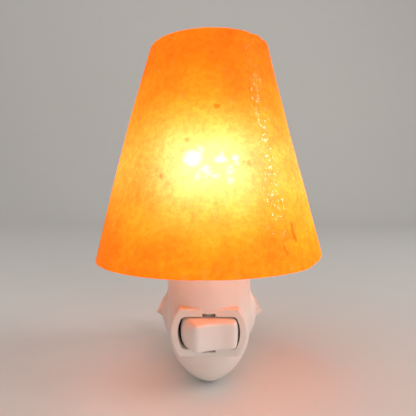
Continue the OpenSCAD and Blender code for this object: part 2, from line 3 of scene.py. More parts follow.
import bmesh
import bpy
import mathutils
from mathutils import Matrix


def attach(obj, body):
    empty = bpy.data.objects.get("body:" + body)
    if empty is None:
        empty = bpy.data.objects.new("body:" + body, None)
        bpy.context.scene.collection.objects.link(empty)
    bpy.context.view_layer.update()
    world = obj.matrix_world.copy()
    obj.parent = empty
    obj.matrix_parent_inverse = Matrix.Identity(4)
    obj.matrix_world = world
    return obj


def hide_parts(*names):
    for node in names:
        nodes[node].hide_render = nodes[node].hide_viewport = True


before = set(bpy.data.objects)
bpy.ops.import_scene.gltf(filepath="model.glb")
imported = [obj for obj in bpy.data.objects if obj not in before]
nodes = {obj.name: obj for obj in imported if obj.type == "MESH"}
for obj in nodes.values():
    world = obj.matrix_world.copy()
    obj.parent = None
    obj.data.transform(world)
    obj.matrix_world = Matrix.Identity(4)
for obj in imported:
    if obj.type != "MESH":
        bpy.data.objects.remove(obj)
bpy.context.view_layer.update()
MM = 0.001

# Plug blades and strips: flat tongues and springs stamped from rolled brass strip.
# The blades' shoulders are trapped behind the outlet face, and the strips are pressed against their tails.
BRASS = (0.80, 0.58, 0.24, 1)
BRASS_DULL = (0.56, 0.38, 0.16, 1)
STRIP_LINES = (900, 60, 900)
STRIP_POLISH = 0.24
LINE_DEPTH = 0.03 * MM


def put(tree, socket, value):
    """Links an input socket to another node's output, or sets it."""
    if isinstance(value, bpy.types.NodeSocket):
        tree.links.new(value, socket)
    else:
        socket.default_value = value


def add(tree, kind, **inputs):
    """A node of that kind, with these inputs linked or set."""
    made = tree.nodes.new(kind)
    for name, value in inputs.items():
        put(tree, made.inputs[name.replace("_", " ")], value)
    return made


def calc(tree, operation, *terms):
    """One step of arithmetic on numbers."""
    made = tree.nodes.new("ShaderNodeMath")
    made.operation = operation
    for socket, term in zip(made.inputs, terms):
        put(tree, socket, term)
    return made.outputs[0]


def shift(tree, operation, *terms):
    """One step of arithmetic on points or colours."""
    made = tree.nodes.new("ShaderNodeVectorMath")
    made.operation = operation
    for socket, term in zip(made.inputs, terms):
        put(tree, socket, term)
    return made.outputs["Value" if operation == "LENGTH" else "Vector"]


def spread(tree, value, low, high, to_low=0.0, to_high=1.0):
    """A number stretched from one span to another and held at its ends."""
    made = add(tree, "ShaderNodeMapRange", Value=value, From_Min=low, From_Max=high)
    put(tree, made.inputs["To Min"], to_low)
    put(tree, made.inputs["To Max"], to_high)
    return made.outputs[0]


def shade_of(tree, share, first, second):
    """A colour between two."""
    made = tree.nodes.new("ShaderNodeMix")
    made.data_type = "RGBA"
    put(tree, made.inputs[0], share)
    put(tree, made.inputs[6], first)
    put(tree, made.inputs[7], second)
    return made.outputs[2]


def grain(tree, where, scale, detail=3.0, roughness=0.5):
    """Soft noise of that many lumps to the metre."""
    made = add(tree, "ShaderNodeTexNoise", Vector=where, Scale=scale, Detail=detail, Roughness=roughness)
    return made.outputs["Fac"]


def new_group(name, inputs, outputs):
    """An empty shader group with named sockets: returns it, its input sockets and its output sockets."""
    tree = bpy.data.node_groups.new(name, "ShaderNodeTree")
    kinds = {"c": "NodeSocketColor", "f": "NodeSocketFloat", "v": "NodeSocketVector"}
    for label, kind, value in inputs:
        tree.interface.new_socket(label, in_out="INPUT", socket_type=kinds[kind]).default_value = value
    for label, kind in outputs:
        tree.interface.new_socket(label, in_out="OUTPUT", socket_type=kinds[kind])
    return tree, tree.nodes.new("NodeGroupInput").outputs, tree.nodes.new("NodeGroupOutput").inputs


def new_material(name):
    """A material: returns it, its shader's inputs, its node tree and its place on the piece."""
    made = bpy.data.materials.new(name)
    made.use_nodes = True
    tree = made.node_tree
    place = tree.nodes.new("ShaderNodeTexCoord").outputs["Object"]
    return made, tree.nodes["Principled BSDF"].inputs, tree, place


def dress(material, *names):
    """Gives CAD nodes this material."""
    for name in names:
        mesh = nodes[name].data
        mesh.materials.clear()
        mesh.materials.append(material)


# Rolling lines and tarnish, used on every metal piece but the filament
rolled, given, made = new_group(
    "rolling lines",
    [("Colour", "c", BRASS), ("Tarnish", "c", BRASS_DULL),
     ("Along", "v", STRIP_LINES), ("Polish", "f", STRIP_POLISH)],
    [("Colour", "c"), ("Roughness", "f"), ("Height", "f")],
)
place = rolled.nodes.new("ShaderNodeTexCoord").outputs["Object"]
lines = grain(rolled, shift(rolled, "MULTIPLY", place, given["Along"]), 1.0, 4.0)
stain = spread(rolled, grain(rolled, place, 140.0, 5.0), 0.48, 0.72)
put(rolled, made["Colour"], shade_of(rolled, stain, given["Colour"], given["Tarnish"]))
put(rolled, made["Roughness"], calc(rolled, "MULTIPLY_ADD", lines, 0.22, given["Polish"]))
put(rolled, made["Height"], lines)


def metal(name, colour, tarnish, along, polish):
    """A rolled or drawn metal with its lines running the way of the smallest number in along."""
    made, shader, tree, _ = new_material(name)
    skin = tree.nodes.new("ShaderNodeGroup")
    skin.node_tree = rolled
    for label, value in (("Colour", colour), ("Tarnish", tarnish), ("Along", along), ("Polish", polish)):
        skin.inputs[label].default_value = value
    bump = add(tree, "ShaderNodeBump", Height=skin.outputs["Height"], Strength=0.25, Distance=LINE_DEPTH)
    put(tree, shader["Base Color"], skin.outputs["Colour"])
    put(tree, shader["Roughness"], skin.outputs["Roughness"])
    put(tree, shader["Normal"], bump.outputs["Normal"])
    shader["Metallic"].default_value = 1.0
    return made


rolled_brass = metal("rolled brass", BRASS, BRASS_DULL, along=STRIP_LINES, polish=STRIP_POLISH)
dress(rolled_brass, "blade_line", "blade_neutral", "line_strip", "load_strip", "neutral_strip")

# Housing: two mouldings of white plastic with a satin skin, the front one with neck, dome and switch pad.
# The rear one carries the blades and is drawn to the front one by two screws from the outlet face.
WHITE = (0.86, 0.84, 0.80, 1)
WHITE_WARM = (0.83, 0.79, 0.72, 1)
HOUSING_PEEL = 900.0
HOUSING_GLOSS = 0.28
HOUSING_EDGE = 0.35 * MM
PEEL_DEPTH = 0.04 * MM
moulded, given, made = new_group(
    "moulded skin",
    [("Colour", "c", WHITE), ("Aged", "c", WHITE_WARM),
     ("Peel", "f", HOUSING_PEEL), ("Gloss", "f", HOUSING_GLOSS)],
    [("Colour", "c"), ("Roughness", "f"), ("Height", "f")],
)
place = moulded.nodes.new("ShaderNodeTexCoord").outputs["Object"]
flow = grain(moulded, place, 70.0)
aged_share = spread(moulded, flow, 0.42, 0.75)
put(moulded, made["Colour"], shade_of(moulded, aged_share, given["Colour"], given["Aged"]))
put(moulded, made["Roughness"], calc(moulded, "MULTIPLY_ADD", flow, 0.18, given["Gloss"]))
put(moulded, made["Height"], grain(moulded, place, given["Peel"], 2.0))


def plastic(name, colour, aged, peel, gloss, edge):
    """A moulded plastic whose edges are eased by the given radius."""
    made, shader, tree, _ = new_material(name)
    skin = tree.nodes.new("ShaderNodeGroup")
    skin.node_tree = moulded
    for label, value in (("Colour", colour), ("Aged", aged), ("Peel", peel), ("Gloss", gloss)):
        skin.inputs[label].default_value = value
    eased = add(tree, "ShaderNodeBevel", Radius=edge)
    bump = add(tree, "ShaderNodeBump", Height=skin.outputs["Height"], Strength=0.12, Distance=PEEL_DEPTH)
    put(tree, bump.inputs["Normal"], eased.outputs["Normal"])
    put(tree, shader["Base Color"], skin.outputs["Colour"])
    put(tree, shader["Roughness"], skin.outputs["Roughness"])
    put(tree, shader["Normal"], bump.outputs["Normal"])
    return made


housing_white = plastic("white housing plastic", WHITE, WHITE_WARM, HOUSING_PEEL, HOUSING_GLOSS, HOUSING_EDGE)
dress(housing_white, "front_housing", "rear_housing")

# Housing screws: two bright cheese-head screws of drawn steel wire, with a cross recess.
# They are sunk deep in the plug body and pull it to the bosses of the front moulding.
STEEL = (0.62, 0.62, 0.64, 1)
STEEL_DULL = (0.42, 0.41, 0.40, 1)
bright_steel = metal("bright steel", STEEL, STEEL_DULL, along=(700, 700, 700), polish=0.2)
dress(bright_steel, "housing_screws")

# Rocker switch: a glossy white rocker, moulded with soft edges, that tips on two trunnions in the pad.
# Behind it are a sprung brass plunger, a brass see-saw and a dark pressed plate that closes the chamber.
ROCKER_VOXEL = 0.2 * MM
ROCKER_ROUNDS = 150
SOFT_FROM_Y = -54.6 * MM
SOFT_FULL_Y = -56.4 * MM
ROCKER_ROOM = 0.06 * MM
WELD = 0.001 * MM
ROCKER_WHITE = (0.88, 0.86, 0.82, 1)
ROCKER_WARM = (0.86, 0.82, 0.75, 1)
PLATE_DARK = (0.045, 0.04, 0.04, 1)
PLATE_WORN = (0.07, 0.06, 0.055, 1)


def plain_piece(name, worked):
    """The finished mesh of a worked object as a plain piece, with the worked object taken away."""
    bpy.context.view_layer.update()
    ready = worked.evaluated_get(bpy.context.evaluated_depsgraph_get())
    mesh = bpy.data.meshes.new_from_object(ready)
    bpy.data.objects.remove(worked)
    for face in mesh.polygons:
        face.use_smooth = True
    piece = bpy.data.objects.new(name, mesh)
    bpy.context.scene.collection.objects.link(piece)
    return piece


def softened(name, source, voxel, rounds, soft_from, soft_full, room):
    """A copy of a CAD node, drawn in all over by room, with the edges of its front rounded.

    They are rounded fully in front of the depth soft_full, and not behind soft_from.
    """
    copy = bmesh.new()
    copy.from_mesh(nodes[source].data)
    bmesh.ops.remove_doubles(copy, verts=copy.verts, dist=WELD)
    rough_mesh = bpy.data.meshes.new(name + "_rough")
    copy.to_mesh(rough_mesh)
    copy.free()
    rough = bpy.data.objects.new(name + "_rough", rough_mesh)
    bpy.context.scene.collection.objects.link(rough)
    remesh = rough.modifiers.new("even", "REMESH")
    remesh.mode = "VOXEL"
    remesh.voxel_size = voxel
    even = plain_piece(name + "_even", rough)
    front = even.vertex_groups.new(name="front")
    for point in even.data.vertices:
        share = (soft_from - point.co.y) / (soft_from - soft_full)
        front.add([point.index], min(1, max(0, share)), "REPLACE")
    smooth = even.modifiers.new("soft", "SMOOTH")
    smooth.factor = 0.5
    smooth.iterations = rounds
    smooth.vertex_group = "front"
    drawn_in = even.modifiers.new("room", "DISPLACE")
    drawn_in.mid_level = 0
    drawn_in.strength = -room
    return plain_piece(name, even)


rocker_white = plastic(
    "white rocker plastic", ROCKER_WHITE, ROCKER_WARM, peel=500.0, gloss=0.2, edge=0.3 * MM,
)
soft_rocker = softened(
    "soft_rocker", "rocker", ROCKER_VOXEL, ROCKER_ROUNDS, SOFT_FROM_Y, SOFT_FULL_Y, ROCKER_ROOM,
)
soft_rocker.data.materials.clear()
soft_rocker.data.materials.append(rocker_white)
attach(soft_rocker, "rocker")
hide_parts("rocker")
dress(rolled_brass, "switch_contact", "switch_plunger")
dress(bright_steel, "switch_spring")
dark_base = plastic("dark pressed plate", PLATE_DARK, PLATE_WORN, peel=1500.0, gloss=0.5, edge=0.2 * MM)
dress(dark_base, "switch_base")

# Lamp holder: a matte insulating cup in the neck, and a screw shell of drawn brass pressed into the cup.
# The shell's thread is rolled: a round bead that climbs inside it, one pitch to a turn.
AXIS_Y = -43 * MM
PITCH = 2.54 * MM
SHELL_R = 6.2 * MM
SHELL_FOOT = 28.6 * MM
SHELL_TURNS = 4.3
SHELL_BEAD = 0.2 * MM
INSERT_WHITE = (0.80, 0.78, 0.73, 1)
INSERT_WARM = (0.74, 0.70, 0.62, 1)
insert_white = plastic(
    "matte insert plastic", INSERT_WHITE, INSERT_WARM, peel=1200.0, gloss=0.5, edge=0.2 * MM,
)
dress(insert_white, "lampholder_insert")
drawn_brass = metal("drawn brass", BRASS, BRASS_DULL, along=(300, 300, 1200), polish=0.22)
dress(drawn_brass, "lampholder_shell", "bulb_cap")


def new_geometry(name, inputs):
    """An empty Geometry Nodes tree with named inputs: returns it, its input sockets and its output socket."""
    tree = bpy.data.node_groups.new(name, "GeometryNodeTree")
    kinds = {"g": "Geometry", "d": "Float", "i": "Int", "m": "Material"}
    for label, kind in inputs:
        tree.interface.new_socket(label, in_out="INPUT", socket_type="NodeSocket" + kinds[kind])
    tree.interface.new_socket("Made", in_out="OUTPUT", socket_type="NodeSocketGeometry")
    return tree, tree.nodes.new("NodeGroupInput").outputs, tree.nodes.new("NodeGroupOutput").inputs["Made"]


def finished(tree, shape, material, result):
    """Ends a tree: real faces, smooth, in that material."""
    smooth = add(tree, "GeometryNodeSetShadeSmooth", Geometry=shape)
    real = add(tree, "GeometryNodeRealizeInstances", Geometry=smooth.outputs[0])
    coated = add(tree, "GeometryNodeSetMaterial", Geometry=real.outputs[0], Material=material)
    put(tree, result, coated.outputs[0])


def grown(name, tree, start, **inputs):
    """A plain piece that a Geometry Nodes tree makes from a start mesh and these named inputs."""
    worked = bpy.data.objects.new(name + "_start", start)
    bpy.context.scene.collection.objects.link(worked)
    modifier = worked.modifiers.new("made", "NODES")
    modifier.node_group = tree
    for label, value in inputs.items():
        modifier[tree.interface.items_tree[label.replace("_", " ")].identifier] = value
    return plain_piece(name, worked)


threading, given, result = new_geometry(
    "rolled thread",
    [("Start", "g"), ("Radius", "d"), ("Bead", "d"), ("Turns", "d"), ("Pitch", "d"), ("Foot", "d"),
     ("Axis Y", "d"), ("Metal", "m")],
)
climb = calc(threading, "MULTIPLY", given["Turns"], given["Pitch"])
path = add(threading, "GeometryNodeCurveSpiral", Resolution=48, Rotations=given["Turns"], Height=climb)
put(threading, path.inputs["Start Radius"], given["Radius"])
put(threading, path.inputs["End Radius"], given["Radius"])
round_bead = add(threading, "GeometryNodeCurvePrimitiveCircle", Resolution=10, Radius=given["Bead"])
tube = add(threading, "GeometryNodeCurveToMesh", Curve=path.outputs[0], Fill_Caps=True)
put(threading, tube.inputs["Profile Curve"], round_bead.outputs[0])
spot = add(threading, "ShaderNodeCombineXYZ", Y=given["Axis Y"], Z=given["Foot"])
set_in = add(threading, "GeometryNodeTransform", Geometry=tube.outputs[0], Translation=spot.outputs[0])
finished(threading, set_in.outputs[0], given["Metal"], result)

shell_thread = grown(
    "shell_thread", threading, bpy.data.meshes.new("shell_start"), Radius=SHELL_R, Bead=SHELL_BEAD,
    Turns=SHELL_TURNS, Pitch=PITCH, Foot=SHELL_FOOT, Axis_Y=AXIS_Y, Metal=drawn_brass,
)
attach(shell_thread, "base")

# Bulb: a small blown glass envelope cemented in a screw cap of drawn brass, with a coiled filament in it.
# A pressed glass stem carries the filament on two leads. A dark insulator and a drop of solder end the cap.
CAP_R = 5.72 * MM
CAP_FOOT = 30.4 * MM
CAP_TURNS = 3.6
CAP_BEAD = 0.22 * MM
GLASS_PALE = (1.0, 0.96, 0.88, 1)
GLASS_WARM = (1.0, 0.92, 0.80, 1)
LIT_GLASS = (1.0, 0.84, 0.56, 1)
GLASS_GLOW = 1.6
GLASS_WAVE = 0.1 * MM
GLOW_FULL = 9 * MM
GLOW_FAINT = 21 * MM
STEM_PALE = (0.90, 0.94, 0.90, 1)
STEM_GREEN = (0.84, 0.90, 0.86, 1)
WIRE_Z = 57 * MM
WIRE = (0.42, 0.32, 0.20, 1)
WIRE_DARK = (0.3, 0.2, 0.1, 1)
HOT_WIRE = (1.0, 0.78, 0.44, 1)
HOT_WIRE_DIM = (1.0, 0.62, 0.28, 1)
WIRE_GLOW = 30.0
TIN = (0.70, 0.70, 0.71, 1)
TIN_DULL = (0.5, 0.5, 0.5, 1)
cap_thread = grown(
    "cap_thread", threading, bpy.data.meshes.new("cap_start"), Radius=CAP_R, Bead=CAP_BEAD,
    Turns=CAP_TURNS, Pitch=PITCH, Foot=CAP_FOOT, Axis_Y=AXIS_Y, Metal=drawn_brass,
)
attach(cap_thread, "bulb")
lit_glass, shader, tree, place = new_material("lit bulb glass")
shimmer = grain(tree, place, 220.0, 2.0)
bump = add(tree, "ShaderNodeBump", Height=shimmer, Strength=0.1, Distance=GLASS_WAVE)
put(tree, shader["Normal"], bump.outputs["Normal"])
put(tree, shader["Base Color"], shade_of(tree, shimmer, GLASS_PALE, GLASS_WARM))
off_wire = shift(tree, "LENGTH", shift(tree, "SUBTRACT", place, (0, AXIS_Y, WIRE_Z)))
fading = spread(tree, off_wire, GLOW_FULL, GLOW_FAINT, 1.0, 0.1)
near_wire = calc(tree, "ADD", fading, calc(tree, "MULTIPLY", shimmer, 0.05))
put(tree, shader["Emission Color"], shift(tree, "MULTIPLY", LIT_GLASS[:3], near_wire))
shader["Roughness"].default_value = 0.15
shader["Transmission Weight"].default_value = 0.6
shader["Emission Strength"].default_value = GLASS_GLOW
dress(lit_glass, "bulb_glass")
stem_glass, shader, tree, place = new_material("pressed stem glass")
ripple = grain(tree, place, 400.0)
bump = add(tree, "ShaderNodeBump", Height=ripple, Strength=0.2, Distance=GLASS_WAVE)
put(tree, shader["Normal"], bump.outputs["Normal"])
put(tree, shader["Base Color"], shade_of(tree, ripple, STEM_PALE, STEM_GREEN))
shader["Roughness"].default_value = 0.08
shader["Transmission Weight"].default_value = 0.85
dress(stem_glass, "bulb_stem")
hot_wire, shader, tree, place = new_material("hot filament wire")
put(tree, shader["Base Color"], shade_of(tree, grain(tree, place, 3000.0), WIRE, WIRE_DARK))
put(tree, shader["Emission Color"], shade_of(tree, grain(tree, place, 900.0), HOT_WIRE, HOT_WIRE_DIM))
shader["Emission Strength"].default_value = WIRE_GLOW
dress(hot_wire, "bulb_filament")
dress(bright_steel, "bulb_leads")
dress(dark_base, "bulb_insulator")
tinned = metal("tinned solder", TIN, TIN_DULL, along=(500, 500, 500), polish=0.3)
dress(tinned, "bulb_contact")

# Shade: a cone turned from translucent rock salt, sawn off at both ends and bored from below.
# The counterbore slides over the neck, and its step rests on the neck's rim.
FOOT_R = 40 * MM
CROWN_R = 20.8 * MM
FOOT_Z = 25.0 * MM
CROWN_Z = 98.8 * MM
FOOT_TILT = 0.6
CROWN_TILT = 1.4
NECK_BORE_R = 15.6 * MM
SEAT_Z = 47.2 * MM
CAVITY_R = 14 * MM
CEILING_Z = 88.6 * MM
CAVITY_CORNER = 3 * MM
CORNER_STEPS = 6
CHIP_H = 2 * MM
CHIP_REACH = 9.6 * MM
CHIP_ANGLE = -5
FOOT_EASE = 0.5 * MM
CROWN_EASE = 1.2 * MM
LEFT_SWELL = 0.7 * MM
RIGHT_HOLLOW = 0.6 * MM
RIPPLE = 0.5 * MM
NICK = 0.6 * MM
NICK_REACH = 2.5 * MM
STILL_R = 12 * MM
SKIN_PAST_BORE = 2 * MM
SKIN_PAST_CEILING = 1 * MM
SALT_SEED = 3.0
SALT_AROUND = 200
SALT_ALONG = 380

turning, given, result = new_geometry(
    "turned salt",
    [("Section", "g"), ("Around", "i"), ("Along", "i"), ("Foot Z", "d"), ("Crown Z", "d"),
     ("Foot Radius", "d"), ("Side Slope", "d"), ("Foot Tilt", "d"), ("Crown Tilt", "d"),
     ("Bore Radius", "d"), ("Ceiling Z", "d"),
     ("Left Swell", "d"), ("Right Hollow", "d"), ("Ripple", "d"), ("Nick", "d"), ("Chip Height", "d"),
     ("Chip Reach", "d"), ("Chip Angle", "d"), ("Seed", "d"), ("Axis Y", "d"), ("Salt", "m")],
)
half_turn = math.pi
outline = add(turning, "GeometryNodeMeshToCurve", Mesh=given["Section"])
sheet = add(turning, "GeometryNodeMeshGrid", Size_X=1.0, Size_Y=1.0)
put(turning, sheet.inputs["Vertices X"], calc(turning, "ADD", given["Around"], 1.0))
put(turning, sheet.inputs["Vertices Y"], given["Along"])
flat = add(turning, "ShaderNodeSeparateXYZ", Vector=turning.nodes.new("GeometryNodeInputPosition").outputs[0])
share = calc(turning, "ADD", flat.outputs["Y"], 0.5)
angle = calc(turning, "MULTIPLY_ADD", flat.outputs["X"], 2 * half_turn, half_turn)
sampled = add(turning, "GeometryNodeSampleCurve", Curves=outline.outputs[0], Factor=share)
sampled.mode = "FACTOR"
edge_point = add(turning, "ShaderNodeSeparateXYZ", Vector=sampled.outputs["Position"])
radius, height = edge_point.outputs["X"], edge_point.outputs["Z"]
right = calc(turning, "COSINE", angle)
back = calc(turning, "SINE", angle)
rise = spread(turning, height, given["Foot Z"], given["Crown Z"])
past_bore = calc(turning, "SUBTRACT", radius, given["Bore Radius"])
beyond_bore = calc(turning, "GREATER_THAN", past_bore, SKIN_PAST_BORE)
past_ceiling = calc(turning, "SUBTRACT", height, given["Ceiling Z"])
above_cavity = calc(turning, "GREATER_THAN", past_ceiling, SKIN_PAST_CEILING)
skin = calc(turning, "MAXIMUM", beyond_bore, above_cavity)
# the turned side swells a little on the left and is hollow on the right
waist = calc(turning, "SINE", calc(turning, "MULTIPLY", rise, half_turn))
to_left = calc(turning, "POWER", calc(turning, "MAXIMUM", calc(turning, "MULTIPLY", right, -1.0), 0.0), 2.0)
to_right = calc(turning, "POWER", calc(turning, "MAXIMUM", right, 0.0), 2.0)
swell = calc(turning, "MULTIPLY", calc(turning, "MULTIPLY", to_left, waist), given["Left Swell"])
high_waist = calc(turning, "MULTIPLY", waist, rise)
hollow = calc(turning, "MULTIPLY", calc(turning, "MULTIPLY", to_right, high_waist), given["Right Hollow"])
# ripples all over the outside that fade towards the middle of the crown, and small nicks out of both rims
true_spot = add(turning, "ShaderNodeCombineXYZ", Z=height)
put(turning, true_spot.inputs["X"], calc(turning, "MULTIPLY", radius, right))
put(turning, true_spot.inputs["Y"], calc(turning, "MULTIPLY", radius, back))


def salt_noise(scale, detail):
    """Noise about nought in the salt, picked by the seed."""
    made = add(turning, "ShaderNodeTexNoise", Vector=true_spot.outputs[0], Scale=scale, Detail=detail)
    made.noise_dimensions = "4D"
    put(turning, made.inputs["W"], given["Seed"])
    return calc(turning, "SUBTRACT", made.outputs["Fac"], 0.5)


ripple = calc(turning, "MULTIPLY", salt_noise(70.0, 3.0), given["Ripple"])
off_foot = calc(turning, "ABSOLUTE", calc(turning, "SUBTRACT", height, given["Foot Z"]))
off_crown = calc(turning, "ABSOLUTE", calc(turning, "SUBTRACT", height, given["Crown Z"]))
rim = spread(turning, calc(turning, "MINIMUM", off_foot, off_crown), 0.0, NICK_REACH, 1.0, 0.0)
bite = spread(turning, salt_noise(160.0, 2.0), 0.06, 0.22)
nick = calc(turning, "MULTIPLY", calc(turning, "MULTIPLY", bite, rim), given["Nick"])
uneven = calc(turning, "SUBTRACT", calc(turning, "ADD", swell, ripple), calc(turning, "ADD", hollow, nick))
off_middle = spread(turning, radius, 0.0, STILL_R)
worn = calc(turning, "MULTIPLY", calc(turning, "MULTIPLY", uneven, skin), off_middle)
worn_radius = calc(turning, "ADD", radius, worn)
# a flat is chipped off the foot's edge: what lies under it is lifted to it, and stays inside the turned side
to_chip = calc(turning, "COSINE", calc(turning, "SUBTRACT", angle, given["Chip Angle"]))
chip_run = calc(turning, "MULTIPLY", worn_radius, to_chip)
chip_root = calc(turning, "SUBTRACT", given["Foot Radius"], given["Chip Reach"])
past_root = calc(turning, "SUBTRACT", chip_run, chip_root)
chip_slope = calc(turning, "DIVIDE", given["Chip Height"], given["Chip Reach"])
chip_rise = calc(turning, "MULTIPLY", past_root, chip_slope)
under_chip = calc(turning, "SUBTRACT", calc(turning, "ADD", given["Foot Z"], chip_rise), height)
height = calc(turning, "MULTIPLY_ADD", calc(turning, "MAXIMUM", under_chip, 0.0), beyond_bore, height)
narrowing = calc(turning, "MULTIPLY", calc(turning, "SUBTRACT", height, given["Foot Z"]), given["Side Slope"])
side_radius = calc(turning, "ADD", calc(turning, "SUBTRACT", given["Foot Radius"], narrowing), worn)
worn_radius = calc(turning, "MINIMUM", worn_radius, side_radius)
# both saw cuts are tilted, and the side between them follows
across = calc(turning, "MULTIPLY", worn_radius, right)
tilt_change = calc(turning, "SUBTRACT", given["Crown Tilt"], given["Foot Tilt"])
tilt_gain = calc(turning, "MULTIPLY", tilt_change, rise)
slope = calc(turning, "TANGENT", calc(turning, "ADD", given["Foot Tilt"], tilt_gain))
lift = calc(turning, "MULTIPLY", calc(turning, "MULTIPLY", across, slope), skin)
salt_spot = add(turning, "ShaderNodeCombineXYZ", X=across, Z=calc(turning, "ADD", height, lift))
put(turning, salt_spot.inputs["Y"], calc(turning, "MULTIPLY_ADD", worn_radius, back, given["Axis Y"]))
shaped = add(turning, "GeometryNodeSetPosition", Geometry=sheet.outputs["Mesh"])
put(turning, shaped.inputs["Position"], salt_spot.outputs[0])
joined = add(turning, "GeometryNodeMergeByDistance", Geometry=shaped.outputs[0], Distance=WELD)
finished(turning, joined.outputs[0], given["Salt"], result)


def corner(centre_r, centre_z, bend, start, end, count):
    """Points on a rounded corner, from one angle to the other, in degrees."""
    angles = [math.radians(start + (end - start) * i / count) for i in range(count + 1)]
    return [(centre_r + bend * math.cos(a), centre_z + bend * math.sin(a)) for a in angles]


lean = math.degrees(math.atan2(FOOT_R - CROWN_R, CROWN_Z - FOOT_Z))
section = [(0.0, CEILING_Z)]
section += corner(CAVITY_R - CAVITY_CORNER, CEILING_Z - CAVITY_CORNER, CAVITY_CORNER, 90, 0, CORNER_STEPS)
section += [(CAVITY_R, SEAT_Z), (NECK_BORE_R, SEAT_Z), (NECK_BORE_R, FOOT_Z)]
section += corner(FOOT_R - FOOT_EASE, FOOT_Z + FOOT_EASE, FOOT_EASE, -90, lean, CORNER_STEPS)
section += corner(CROWN_R - CROWN_EASE, CROWN_Z - CROWN_EASE, CROWN_EASE, lean, 90, CORNER_STEPS)
section += [(0.0, CROWN_Z)]
section_mesh = bpy.data.meshes.new("salt_section")
section_mesh.from_pydata([(r, 0, z) for r, z in section], [(i, i + 1) for i in range(len(section) - 1)], [])

# Salt: deep orange, cloudy, with clear and dark grains and a finely pitted turned skin.
# The bulb's light through the salt is painted on. The colours run by share of the height: the skin's painted
# glow, its body colour with painted light, and the painted glow of the bore.
# painted glow of the outer skin, brightest around the bulb's height
GLOW = (
    (0.00, (0.80, 0.180, 0.002, 1)),
    (0.13, (0.80, 0.220, 0.003, 1)),
    (0.25, (0.82, 0.290, 0.006, 1)),
    (0.36, (0.84, 0.320, 0.010, 1)),
    (0.46, (0.86, 0.320, 0.012, 1)),
    (0.58, (0.86, 0.280, 0.009, 1)),
    (0.70, (0.84, 0.230, 0.005, 1)),
    (0.84, (0.80, 0.180, 0.002, 1)),
    (1.00, (0.78, 0.145, 0.001, 1)),
)
# body colour with painted light: lighter around the bulb's height, darker towards both rims
BODY_AND_PAINTED_LIGHT = (
    (0.00, (0.60, 0.150, 0.003, 1)),
    (0.14, (0.70, 0.230, 0.018, 1)),
    (0.26, (0.78, 0.330, 0.060, 1)),
    (0.38, (0.84, 0.430, 0.160, 1)),
    (0.50, (0.84, 0.430, 0.160, 1)),
    (0.60, (0.80, 0.330, 0.070, 1)),
    (0.70, (0.70, 0.240, 0.020, 1)),
    (0.84, (0.60, 0.150, 0.003, 1)),
    (1.00, (0.55, 0.115, 0.001, 1)),
)
# painted glow of the bore, brightest around the bulb's height
INSIDE_GAIN = 1.72
INSIDE = (
    (0.00, (0.50, 0.110, 0.005, 1)),
    (0.10, (0.80, 0.290, 0.050, 1)),
    (0.22, (0.95, 0.560, 0.280, 1)),
    (0.34, (1.00, 0.760, 0.760, 1)),
    (0.48, (1.00, 0.760, 0.780, 1)),
    (0.59, (1.00, 0.440, 0.260, 1)),
    (0.70, (0.80, 0.190, 0.040, 1)),
    (0.88, (0.40, 0.070, 0.003, 1)),
)
CLEAR_SALT = (1.0, 0.90, 0.78, 1)
RUST = (0.50, 0.120, 0.004, 1)
CLEAR_RAGGED = 2.4
RUST_RAGGED = 1.4
CLEAR_PATCH = 0.04
RUST_PATCH = 0.4
RUST_SHARE = 0.9
SALT_GLOW = 0.8
SALT_CLEARNESS = 0.7
SALT_IOR = 1.35
TOOL_LINES = (300, 300, 2600)
PIT_DEPTH = 0.2 * MM
FACET_DEPTH = 0.3 * MM
GRAIN_CORE = 0.4
GRAIN_EDGE = 1.7
MASK_LOW = 0.4
MASK_HIGH = 1.3
BORE_MARGIN = 0.4 * MM
# grains that show from the front: degrees to the right, height and half size in mm, tallness and strength
CLEAR_GRAINS = (
    (-8.2, 58.2, 2.3, 0.9, 1.7),
    (-4.2, 60.6, 1.0, 1.2, 1.0),
    (-1.9, 55.0, 1.5, 0.8, 1.0),
    (-5.2, 53.1, 1.2, 1.0, 0.7),
    (6.1, 57.8, 1.8, 0.5, 1.4),
    (6.8, 59.3, 0.9, 1.0, 0.9),
    (14.2, 58.1, 1.1, 0.8, 1.1),
    (14.5, 56.7, 1.0, 1.0, 0.8),
    (10.7, 54.8, 1.3, 1.4, 0.8),
    (10.4, 51.9, 1.2, 1.0, 0.8),
    (3.1, 52.9, 1.2, 0.8, 0.8),
    (0.1, 53.8, 1.2, 1.0, 0.8),
)
RUST_GRAINS = (
    (-11.8, 63.6, 0.9, 1.0, 1.0),
    (5.0, 73.5, 0.9, 0.8, 1.6),
    (-24.7, 53.0, 0.7, 1.6, 1.0),
    (21.4, 56.9, 1.0, 1.3, 0.9),
    (18.6, 57.4, 0.7, 1.0, 0.8),
    (-4.7, 56.9, 0.6, 1.0, 1.0),
    (8.4, 51.4, 0.5, 1.0, 0.9),
    (32.8, 51.7, 0.6, 1.6, 0.7),
    (42.1, 38.5, 0.6, 2.0, 1.5),
    (42.1, 37.0, 0.7, 2.0, 1.7),
    (42.4, 35.5, 0.7, 2.0, 1.7),
    (43.0, 34.5, 0.7, 1.4, 1.6),
    (34.6, 32.3, 0.6, 2.0, 1.5),
    (35.7, 31.0, 0.6, 1.6, 1.5),
)
salt, shader, tree, place = new_material("lit rock salt")
salt_at = add(tree, "ShaderNodeSeparateXYZ", Vector=place).outputs
up = spread(tree, salt_at["Z"], FOOT_Z, CROWN_Z)


def ramp_of(stops):
    """Colour by height on the shade."""
    made = add(tree, "ShaderNodeValToRGB", Fac=up)
    points = made.color_ramp.elements
    points[0].position, points[0].color = stops[0]
    points[1].position, points[1].color = stops[-1]
    for at, colour in stops[1:-1]:
        points.new(at).color = colour
    return made.outputs["Color"]


